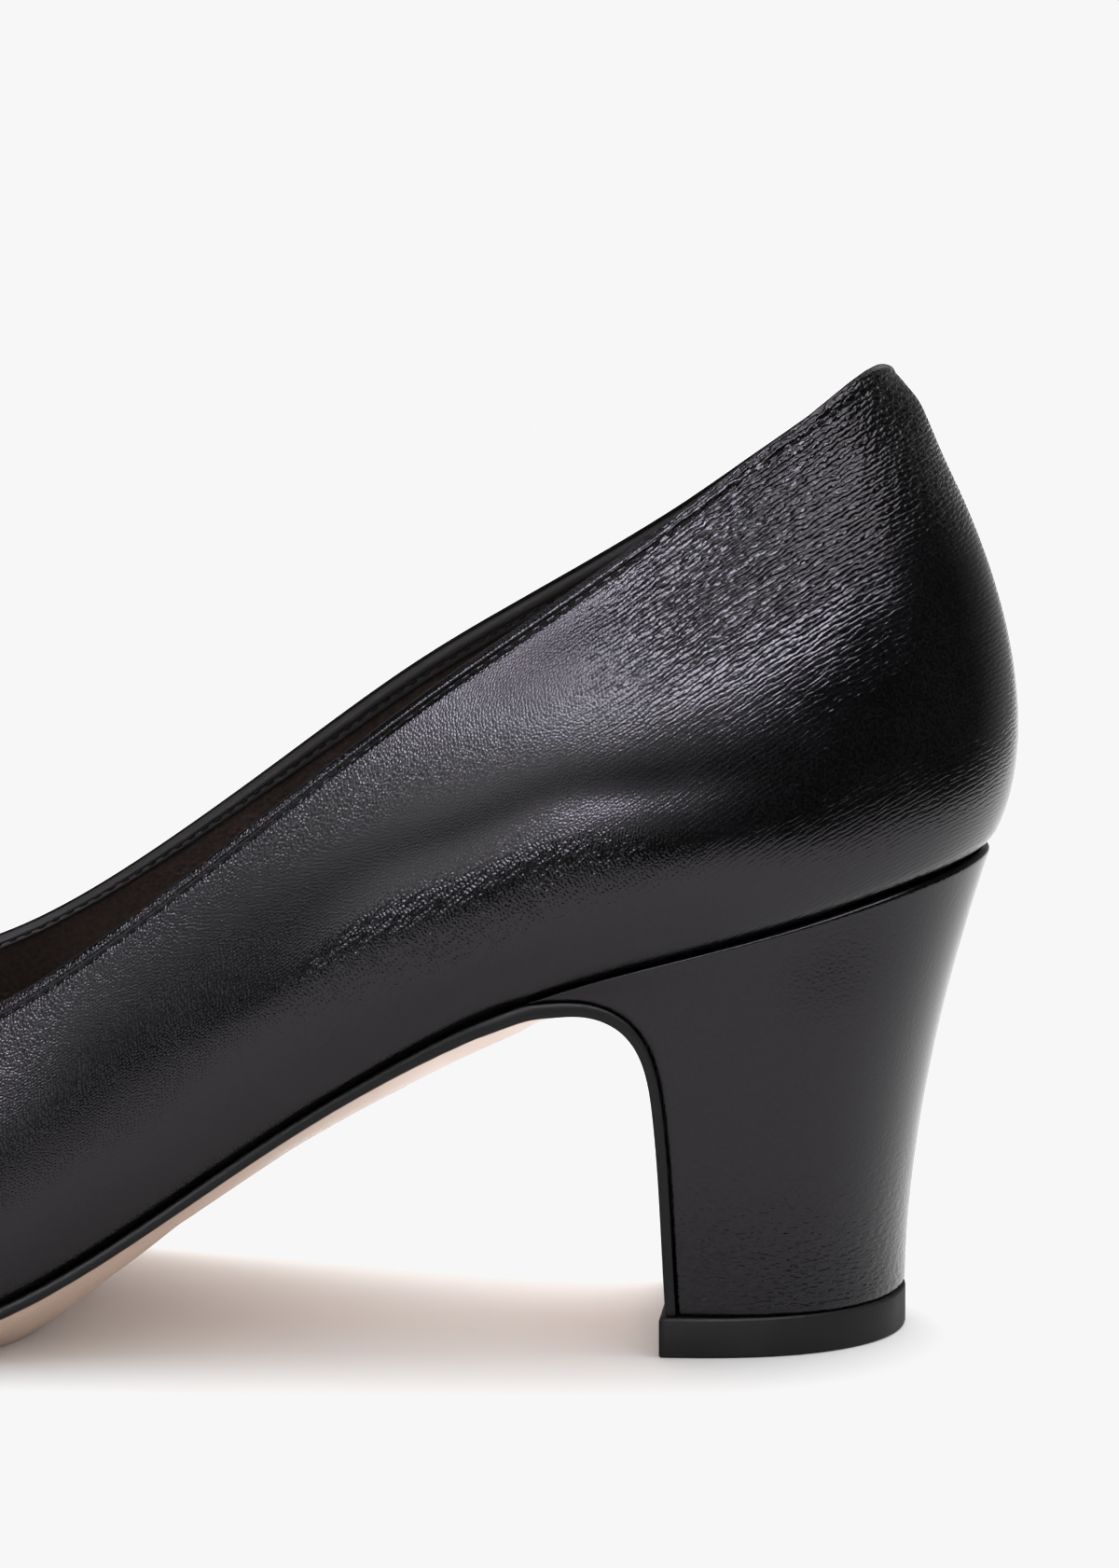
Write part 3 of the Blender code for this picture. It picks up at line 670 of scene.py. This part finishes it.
def makeInsole():  # a bed of even thickness over the feather edge
    medial, lateral = featherSides(insole["stations"], -insole["inset"])
    keep = lateral[:, 1] - medial[:, 1] >= insole["narrowest"]
    medial, lateral = medial[keep][::-1], lateral[keep][::-1]
    normal = sideNormal(0.5 * (medial + lateral))
    middle = -0.5 * (medial[:, 0] + lateral[:, 0])
    bed = np.interp(middle, (heel["seatFront"], sole["sizes"][1][0]), (0.0, sole["bed"]))
    place, line = lineAcross(medial, lateral, insole["across"])
    bottom = line + normal[:, None] * (bed[:, None] * (1.0 - place ** 2))[..., None]
    rim = insole["edgeLift"] * np.abs(place) ** insole["edgePower"]
    rim = rim - quarterRound((1.0 - np.abs(place)) * insole["rimReach"], insole["rimRound"])
    top = bottom - normal[:, None] * (insole["thick"] + rim)[:, None]
    grid = np.concatenate([top, bottom[:, ::-1]], axis=1)
    ends = [0.5 * (part.min(axis=0) + part.max(axis=0)) for part in (grid[0], grid[-1])]
    caps = [np.repeat(spot[None, None], grid.shape[1], axis=1) for spot in ends]
    grid = np.concatenate([caps[0], grid, caps[1]])
    return addRings("insole_sock", grid, "insole")


# materials: a socket that does maths, and a graph that adds nodes

class Shade:
    def __init__(self, graph, socket):
        self.graph, self.socket = graph, socket

    def calc(self, operation, first, second):
        return self.graph.add("ShaderNodeMath", {"operation": operation}, {0: first, 1: second})

    def __add__(self, other):
        return self.calc("ADD", self, other)

    def __sub__(self, other):
        return self.calc("SUBTRACT", self, other)

    def __rsub__(self, other):
        return self.calc("SUBTRACT", other, self)

    def __mul__(self, other):
        return self.calc("MULTIPLY", self, other)


class Graph:
    def __init__(self, owner):
        owner.use_nodes = True
        self.tree = owner.node_tree
        self.tree.nodes.clear()

    def add(self, kind, settings, inputs, output=0):
        node = self.tree.nodes.new(kind)
        for name, value in settings.items():
            setattr(node, name, value)
        for name, value in inputs.items():
            if isinstance(value, Shade):
                self.tree.links.new(value.socket, node.inputs[name])
            else:
                node.inputs[name].default_value = value
        return Shade(self, node.outputs[output]) if len(node.outputs) else None

    def spot(self):
        return self.add("ShaderNodeTexCoord", {}, {}, "Object")

    def mark(self, name, output="Fac"):
        return self.add("ShaderNodeAttribute", {"attribute_name": name}, {}, output)

    def axis(self, vector, index):
        return self.add("ShaderNodeSeparateXYZ", {}, {0: vector}, index)

    def place(self, size):  # Object coordinates in cells of one size, or of three
        return self.add("ShaderNodeMapping", {"vector_type": "TEXTURE"}, {
            "Vector": self.spot(), "Scale": size if isinstance(size, tuple) else (size,) * 3,
        })

    def divide(self, first, second):
        return self.add("ShaderNodeVectorMath", {"operation": "DIVIDE"}, {0: first, 1: second})

    def range(self, value, low, high, toLow=0.0, toHigh=1.0):
        return self.add("ShaderNodeMapRange", {"interpolation_type": "SMOOTHSTEP"}, {
            "Value": value, "From Min": low, "From Max": high, "To Min": toLow, "To Max": toHigh,
        })

    def noise(self, size, detail=3.0, rough=0.5):
        return self.add("ShaderNodeTexNoise", {}, {
            "Vector": self.place(size), "Scale": 1.0, "Detail": detail, "Roughness": rough,
        })

    def flatNoise(self, vector):
        return self.add("ShaderNodeTexNoise", {"noise_dimensions": "2D"}, {
            "Vector": vector, "Scale": 1.0, "Detail": 1.0,
        })

    def cells(self, size, smooth):
        return self.add("ShaderNodeTexVoronoi", {"feature": "SMOOTH_F1"}, {
            "Vector": self.place(size), "Scale": 1.0, "Smoothness": smooth,
        })

    def ripple(self, phase):  # |sin(pi * phase)|
        wave = self.add("ShaderNodeMath", {"operation": "SINE"}, {0: phase * np.pi})
        return self.add("ShaderNodeMath", {"operation": "ABSOLUTE"}, {0: wave})

    def bump(self, height, distance, strength=1.0):
        return self.add("ShaderNodeBump", {}, {"Height": height, "Strength": strength, "Distance": distance})

    def surface(self, colour, rough, gloss, bump, tint=(1.0, 1.0, 1.0, 1.0)):
        return self.add("ShaderNodeBsdfPrincipled", {}, {
            "Base Color": colour, "Roughness": rough, "Specular IOR Level": gloss, "Normal": bump,
            "Specular Tint": tint,
        })

    def background(self, colour, strength):
        return self.add("ShaderNodeBackground", {}, {"Color": colour, "Strength": strength})

    def mixColour(self, factor, first, second):
        return self.add("ShaderNodeMix", {"data_type": "RGBA"}, {0: factor, 6: first, 7: second}, 2)

    def finish(self, shader):
        self.add("ShaderNodeOutputMaterial", {}, {"Surface": shader})


def newGraph(piece, name):
    material = bpy.data.materials.new(name)
    piece.data.materials.clear()
    piece.data.materials.append(material)
    return Graph(material)


kid = {
    "colour": (0.0003, 0.00026, 0.00032, 1.0),
    "colourLight": (0.0040, 0.0036, 0.0041, 1.0),  # fine flecks in the finish
    "fleckCell": 0.00030,
    "fleckCloud": 0.3,
    "fleckFrom": (0.36, 0.64),
    "facingPaintedSheen": (0.024, 0.0225, 0.0225, 1.0),  # inside of the folded edge: matt, and grey as a painted reflection of the room on black leather
    "facingRough": 0.25,
    "facingFrom": (-0.0003, -0.00005, 1.0, 0.0),
    "roughFrom": (0.35, 0.65),
    "roughness": (0.15, 0.21),
    "gloss": 0.345,
    "heelGloss": 0.315,
    "tint": (1.0, 0.945, 1.02, 1.0),
    "fine": (0.00020, 3.0, 0.6),  # cell, detail and roughness of the finest grain
    "fineShare": 0.05,
    "broad": 0.011,
    "patch": (0.32, 0.68, 0.88, 1.12),  # the grain is a little uneven from place to place
    "rowHeight": 0.00059,  # fine rows of wrinkles that follow the topline
    "rowBreak": (0.0015, 0.00060, 1.0),  # how far a wrinkle runs before it bends or ends
    "rowDrift": (0.0060, 0.0030, 1.0),
    "rowBead": (0.0012, 0.00064, 1.0),
    "rowBend": (0.9, 1.2),  # shares of break and drift
    "beadFrom": (0.30, 0.70, 0.55, 1.0),
    "rowFade": (0.010, 0.025, 1.0, 0.15),  # the rows weaken down the wall
    "rowFrom": (0.065, 0.102),  # and grow stronger from here to the back
    "pebbleCell": (0.00042, 0.00036, 1.0),  # fine pebble, strongest in front
    "pebbleShare": (0.030, 0.060, 0.144, 0.085),
    "pebbleBehind": 0.7,  # how much of it goes where the rows are strong
    "pleat": 0.00050,  # fine pleats across the fold
    "pleatBend": (1.6, 2.0),
    "pleatFrom": (0.25, 0.95),
    "pleatShare": 0.42,
    "grainDepth": 0.000150,
}


# rows |sin(pi (down/rowHeight + noise))| behind, a fine pebble everywhere, pleats across the fold
def kidLeather(piece, name):
    g = newGraph(piece, name)
    grain = g.mark("grain", "Vector")
    along, down = g.axis(grain, 0), g.axis(grain, 1)
    sizes = (kid["rowBreak"], kid["rowDrift"], kid["rowBead"])
    bend, drift, bead = [g.flatNoise(g.divide(grain, size)) for size in sizes]
    bend, drift = bend - 0.5, drift - 0.5
    (rowBend, rowDrift), (pleatBend, pleatDrift) = kid["rowBend"], kid["pleatBend"]
    rows = g.ripple(down * (1.0 / kid["rowHeight"]) + bend * rowBend + drift * rowDrift)
    rows = rows * g.range(bead, *kid["beadFrom"]) * g.range(down, *kid["rowFade"])
    x = g.axis(g.spot(), 0)
    back = g.range(x, *kid["rowFrom"])
    cells = g.add("ShaderNodeTexVoronoi", {"feature": "DISTANCE_TO_EDGE", "voronoi_dimensions": "2D"},
                  {"Vector": g.divide(grain, kid["pebbleCell"]), "Scale": 1.0, "Randomness": 0.9})
    pebble = g.range(cells, 0.0, 0.5) * (1.0 - back * kid["pebbleBehind"]) * g.range(x, *kid["pebbleShare"])
    pleat = g.ripple(along * (1.0 / kid["pleat"]) + bend * pleatBend + drift * pleatDrift)
    pleat = pleat * g.range(g.mark("fold"), *kid["pleatFrom"]) * kid["pleatShare"]
    fine, broad = g.noise(*kid["fine"]), g.noise(kid["broad"])
    height = (rows * back + pebble + pleat) * g.range(broad, *kid["patch"])
    bump = g.bump(height + fine * kid["fineShare"], kid["grainDepth"])
    leatherShader(g, broad, fine, bump, kid["gloss"], g.range(down, *kid["facingFrom"]))


heelGrain = {
    "cell": (0.0005, 0.0005, 0.0004),
    "smooth": 0.3,
    "pebbleShare": 0.10,
    "fineShare": 0.06,
    "wrinkle": (0.0011, 0.0011, 0.00042),
    "wrinkleFrom": (0.004, 0.030, 1.1, 0.0),  # strongest at the foot of the heel
}


def heelLeather(piece, name):  # a weak pebble and wrinkles that fade out above the foot
    g = newGraph(piece, name)
    fine, broad = g.noise(*kid["fine"]), g.noise(kid["broad"])
    pebble = 1.0 - g.cells(heelGrain["cell"], heelGrain["smooth"])
    wrinkle = g.noise(heelGrain["wrinkle"], 2.0) * g.range(g.axis(g.spot(), 2), *heelGrain["wrinkleFrom"])
    height = pebble * heelGrain["pebbleShare"] + fine * heelGrain["fineShare"] + wrinkle
    leatherShader(g, broad, fine, g.bump(height, kid["grainDepth"]), kid["heelGloss"])


def leatherShader(g, broad, fine, bump, gloss, matt=None):  # black with fine flecks; where matt is 1, dull and painted grey as a stand-in for reflected light
    flecks = g.noise(kid["fleckCell"], 2.0) + (broad - 0.5) * kid["fleckCloud"]
    colour = g.mixColour(g.range(flecks, *kid["fleckFrom"]), kid["colour"], kid["colourLight"])
    rough = g.range(broad * 0.6 + fine * 0.4, *kid["roughFrom"], *kid["roughness"])
    if matt:
        # painted reflection: the facing's grey colour stands in for room light reflected by black leather
        colour = g.mixColour(matt, colour, kid["facingPaintedSheen"])
        rough = rough + matt * kid["facingRough"]
    g.finish(g.surface(colour, rough, gloss, bump, kid["tint"]))


thread = {
    "dark": (0.002, 0.002, 0.002, 1.0),
    "light": (0.005, 0.005, 0.005, 1.0),
    "twist": 0.00026,
    "depth": 0.00006,
    "roughness": 0.6,
    "gloss": 0.16,
}


def threadFinish(piece):  # diagonal bands, as of a waxed twist
    g = newGraph(piece, "waxed_thread")
    twist = g.add("ShaderNodeTexWave", {"bands_direction": "DIAGONAL"},
                  {"Vector": g.place(thread["twist"]), "Scale": 1.0, "Distortion": 1.5})
    colour = g.mixColour(twist, thread["dark"], thread["light"])
    bump = g.bump(twist, thread["depth"], 0.8)
    g.finish(g.surface(colour, thread["roughness"], thread["gloss"], bump))


brown = {
    "dark": (0.030, 0.0215, 0.0185),
    "light": (0.054, 0.0375, 0.0320),
    "cell": 0.00060,
    "smooth": 0.4,
    "fine": 0.0003,
    "broad": 0.012,
    "depth": 0.00010,
    "roughness": (0.48, 0.6),
    "gloss": 0.32,
    "sockShare": 1.15,  # the sock is a little paler than the lining
}


def brownLeather(piece, name, share):  # pebbled cells between two browns, both times the share
    g = newGraph(piece, name)
    cells = g.cells(brown["cell"], brown["smooth"])
    fine, broad = g.noise(brown["fine"]), g.noise(brown["broad"])
    dark, light = [tuple(part * share for part in brown[key]) + (1.0,) for key in ("dark", "light")]
    colour = g.mixColour(g.range(broad * 0.6 + cells * 0.4, 0.25, 0.7), dark, light)
    rough = g.range(broad, 0.3, 0.7, *brown["roughness"])
    g.finish(g.surface(colour, rough, brown["gloss"], g.bump((1.0 - cells) + fine * 0.3, brown["depth"])))


tan = {
    "light": (0.58, 0.43, 0.34, 1.0),
    "dark": (0.46, 0.32, 0.24, 1.0),
    "arch": (0.84, 0.66, 0.58, 1.0),  # paler under the arch: painted bounce light and reflection from the floor
    "archFrom": (0.036, 0.060),
    "ink": (0.0035, 0.0034, 0.0036, 1.0),
    "inkLight": (0.0065, 0.0064, 0.0066, 1.0),
    "inkReach": 0.00030,
    "inkSoft": 0.00022,
    "inkWaver": 0.00025,
    "inkRough": 0.12,
    "inkGloss": 0.20,
    "waver": (0.004, 0.0012, 0.0012),
    "fibre": (0.0025, 0.0006, 0.0006),
    "cloud": 0.018,
    "roughness": (0.25, 0.36),
    "gloss": 0.5,
    "depth": 0.00005,
}


def soleFinish(piece):  # tan fibres below, black ink on the edge and a wavering line of it underneath
    g = newGraph(piece, "sole_leather_inked")
    edge = g.mark("fromEdge") + g.noise(tan["waver"], 2.0) * tan["inkWaver"]
    ink = 1.0 - g.range(edge, tan["inkReach"], tan["inkReach"] + tan["inkSoft"])
    fibre, cloud = g.noise(tan["fibre"], 4.0, 0.6), g.noise(tan["cloud"])
    leather = g.mixColour(g.range(cloud * 0.6 + fibre * 0.4, 0.3, 0.7), tan["dark"], tan["light"])
    # painted light: the sole turns paler towards the arch, standing in for the floor's bounce light and
    # reflection
    leather = g.mixColour(g.range(g.axis(g.spot(), 0), *tan["archFrom"]), leather, tan["arch"])
    rough = g.range(cloud, 0.3, 0.7, *tan["roughness"])
    bump = g.bump(fibre, tan["depth"], 0.6)
    bare = g.surface(leather, rough, tan["gloss"], bump)
    black = g.mixColour(fibre, tan["ink"], tan["inkLight"])
    inked = g.surface(black, rough + tan["inkRough"], tan["inkGloss"], bump)
    g.finish(g.add("ShaderNodeMixShader", {}, {0: ink, 1: bare, 2: inked}))


rubber = {
    "dark": (0.0042, 0.0040, 0.0040, 1.0),
    "light": (0.0066, 0.0063, 0.0063, 1.0),
    "speck": (0.0004, 0.0004, 0.0012),
    "cloud": 0.008,
    "roughness": (0.50, 0.62),
    "gloss": 0.22,
    "depth": 0.00005,
}


def rubberFinish(piece):  # two blacks in soft clouds, fine specks in the bump
    g = newGraph(piece, "black_rubber")
    cloud = g.noise(rubber["cloud"])
    colour = g.mixColour(g.range(cloud, 0.3, 0.7), rubber["dark"], rubber["light"])
    rough = g.range(cloud, 0.3, 0.7, *rubber["roughness"])
    bump = g.bump(g.noise(rubber["speck"]), rubber["depth"], 0.5)
    g.finish(g.surface(colour, rough, rubber["gloss"], bump))


upperPiece, stitchPath, facingPath, topNormals = makeUpper()
liningPiece = makeLining()
stitchPiece = makeStitches("topline_stitches", stitchPath, topNormals, stitch["lift"][0])
facingStitchPiece = makeStitches("facing_stitches", facingPath, -topNormals, stitch["lift"][1])
solePiece = makeSole()
heelPiece = makeHeel()
rubberPiece = makeTopPiece()
insolePiece = makeInsole()

kidLeather(upperPiece, "black_kid")
heelLeather(heelPiece, "black_kid_heel")
threadFinish(stitchPiece)
threadFinish(facingStitchPiece)
brownLeather(liningPiece, "brown_lining", 1.0)
brownLeather(insolePiece, "brown_sock", brown["sockShare"])
soleFinish(solePiece)
rubberFinish(rubberPiece)
print("materials done")


# floor, light and camera

studio = {
    "pale": (0.930, 0.930, 0.930, 1.0),
    "floorColour": (0.86, 0.86, 0.86, 1.0),
    "floorX": (-0.9, 0.15, 0.285),  # left edge, right edge in front, right edge at the back
    "floorY": (-0.18, 0.9),
    "floorSlant": 0.75,
    "floorPoints": 9,
    "floorCell": 0.25,
    "floorCloud": 1.006,
    "sunStrength": 1.4,
    "sunAngle": 50.0,
    "sunFrom": (-0.02, 0.18, 1.0),
    "ambient": (0.84, 1.80),  # soft light that reaches matt surfaces, from the front and from behind
    "ambientFrom": (-0.9, 0.9),
    "worldFront": 0.055,  # what glossy leather reflects of the dim room all round
    "worldBack": (0.48, 0.17),  # and more of it behind the shoe, low down and higher up
    "worldBackFrom": (0.3, 0.98),
    "worldBackUp": (-0.12, 0.12),
    # lights that the leather reflects: azimuth rise and fall, elevation rise and fall, all in degrees
    # (0 is towards the camera, plus to the right), radiance, colour
    "panels": [
        ((-27.0, -17.0), (16.0, 42.0), (26.5, 36.0), (36.0, 42.0), 31.0, (0.955, 0.965, 1.065, 1.0)),
        ((-40.0, -26.0), (-16.0, 18.0), (9.0, 21.0), (24.0, 34.0), 1.0, (1.0, 1.01, 0.97, 1.0)),
        ((12.0, 40.0), (54.0, 73.0), (30.0, 38.0), (38.0, 50.0), 14.0, (0.97, 0.98, 1.05, 1.0)),
        ((-50.0, -30.0), (-14.0, 30.0), (-5.0, 8.0), (14.0, 30.0), 0.85, (0.98, 1.0, 1.0, 1.0)),
        ((-50.0, -30.0), (-22.0, -12.0), (6.0, 14.0), (20.0, 32.0), 1.5, (0.98, 1.02, 0.97, 1.0)),
        ((-181.0, -180.0), (180.0, 181.0), (52.0, 74.0), (90.0, 91.0), 5.0, (1.0, 0.98, 1.0, 1.0)),
    ],
}


def makeFloor():  # a flat sheet whose right edge slants away from the camera
    x, y, count = studio["floorX"], studio["floorY"], studio["floorPoints"]
    across = np.linspace(0.0, 1.0, count)
    level = np.repeat(y[0] + across[:, None] * (y[1] - y[0]), count, axis=1)
    right = np.minimum(x[1] + studio["floorSlant"] * (level[:, :1] - y[0]), x[2])
    flat = np.stack([x[0] + across * (right - x[0]), level], axis=-1).reshape(-1, 2)
    mesh = bpy.data.meshes.new("studio_floor")
    mesh.from_pydata(np.column_stack([flat, np.zeros(len(flat))]), [], gridFaces(count, count).tolist())
    floor = bpy.data.objects.new("studio_floor", mesh)
    bpy.context.scene.collection.objects.link(floor)
    g = newGraph(floor, "pale_floor")
    plain = studio["floorColour"]
    paler = tuple(studio["floorCloud"] * part for part in plain[:3]) + (1.0,)
    colour = g.mixColour(g.noise(studio["floorCell"], 2.0), plain, paler)
    g.finish(g.add("ShaderNodeBsdfPrincipled", {}, {
        "Base Color": colour, "Roughness": 0.9, "Specular IOR Level": 0.0,
    }))


def aimed(back, eye):  # a matrix that looks along -back from the eye, with the horizon level
    right = unit(np.cross((0.0, 0.0, 1.0), back))
    up = np.cross(back, right)
    turn = np.column_stack([right, up, back, eye])
    return Matrix(np.vstack([turn, (0.0, 0.0, 0.0, 1.0)]).tolist())


def direction(azimuth, elevation):  # 0 and 0 points towards the camera's side
    a, e = np.radians(azimuth), np.radians(elevation)
    return np.array([np.sin(a) * np.cos(e), -np.cos(a) * np.cos(e), np.sin(e)])


def makeLights():  # one wide overhead light, kept out of reflections
    sun = bpy.data.lights.new("overhead", "SUN")
    sun.energy, sun.angle = studio["sunStrength"], np.radians(studio["sunAngle"])
    holder = bpy.data.objects.new("overhead", sun)
    holder.matrix_world = aimed(unit(np.array(studio["sunFrom"])), np.array([0.0, 0.0, 1.5]))
    holder.visible_glossy = False
    bpy.context.scene.collection.objects.link(holder)


# matt surfaces see an even light, glossy ones soft panels in a dim room, the camera a pale ground
def makeWorld():
    world = bpy.data.worlds.new("studio")
    world.cycles.sampling_method = "NONE"  # so each kind of ray sees only its own light
    bpy.context.scene.world = world
    g = Graph(world)
    spot = g.add("ShaderNodeTexCoord", {}, {}, "Generated")
    x, y, z = [g.axis(spot, index) for index in range(3)]
    azimuth = x.calc("ARCTAN2", x, 0.0 - y) * np.degrees(1.0)
    elevation = g.add("ShaderNodeMath", {"operation": "ARCSINE"}, {0: z}) * np.degrees(1.0)
    behind = g.range(y, *studio["worldBackFrom"]) * g.range(z, *studio["worldBackUp"], *studio["worldBack"])
    room = g.background((1.0, 1.0, 1.0, 1.0), behind + studio["worldFront"])
    for left, right, low, high, radiance, colour in studio["panels"]:
        wide = g.range(azimuth, *left) * g.range(azimuth, *right, 1.0, 0.0)
        tall = g.range(elevation, *low) * g.range(elevation, *high, 1.0, 0.0)
        room = g.add("ShaderNodeAddShader", {}, {0: room, 1: g.background(colour, wide * tall * radiance)})
    even = g.background((1.0, 1.0, 1.0, 1.0), g.range(y, *studio["ambientFrom"], *studio["ambient"]))
    pale = g.background(studio["pale"], 1.0)
    matt = g.add("ShaderNodeLightPath", {}, {}, "Is Diffuse Ray")
    seen = g.add("ShaderNodeLightPath", {}, {}, "Is Camera Ray")
    light = g.add("ShaderNodeMixShader", {}, {0: matt, 1: room, 2: even})
    both = g.add("ShaderNodeMixShader", {}, {0: seen, 1: light, 2: pale})
    g.add("ShaderNodeOutputWorld", {}, {"Surface": both})


view = {
    "azimuth": 4.5,
    "elevation": 9.75,
    "distance": 1.25,
    "lens": 251.64,
    "aim": (0.06686, -0.00151, 0.06216),
}


def makeCamera():  # a long lens, set back from the aim along the view's direction
    camera = bpy.data.cameras.new("photo_camera")
    camera.lens, camera.sensor_width, camera.sensor_fit = view["lens"], 36.0, "AUTO"
    camera.clip_start, camera.clip_end = 0.05, 50.0
    holder = bpy.data.objects.new("photo_camera", camera)
    back = direction(view["azimuth"], view["elevation"])
    holder.matrix_world = aimed(back, np.array(view["aim"]) + back * view["distance"])
    bpy.context.scene.collection.objects.link(holder)
    bpy.context.scene.camera = holder


def setTone():  # a plain tone curve that stops at the pale ground, as the photograph's does
    settings = bpy.context.scene.view_settings
    settings.view_transform = "Standard"
    settings.use_curve_mapping = True
    white = studio["pale"][0]
    curve = settings.curve_mapping.curves[3]
    curve.points[-1].location = (1.0, white)
    curve.points.new(white, white)
    for point in curve.points:
        point.handle_type = "VECTOR"
    settings.curve_mapping.extend = "HORIZONTAL"
    settings.curve_mapping.update()


makeFloor()
makeLights()
makeWorld()
makeCamera()
setTone()
print("studio done")
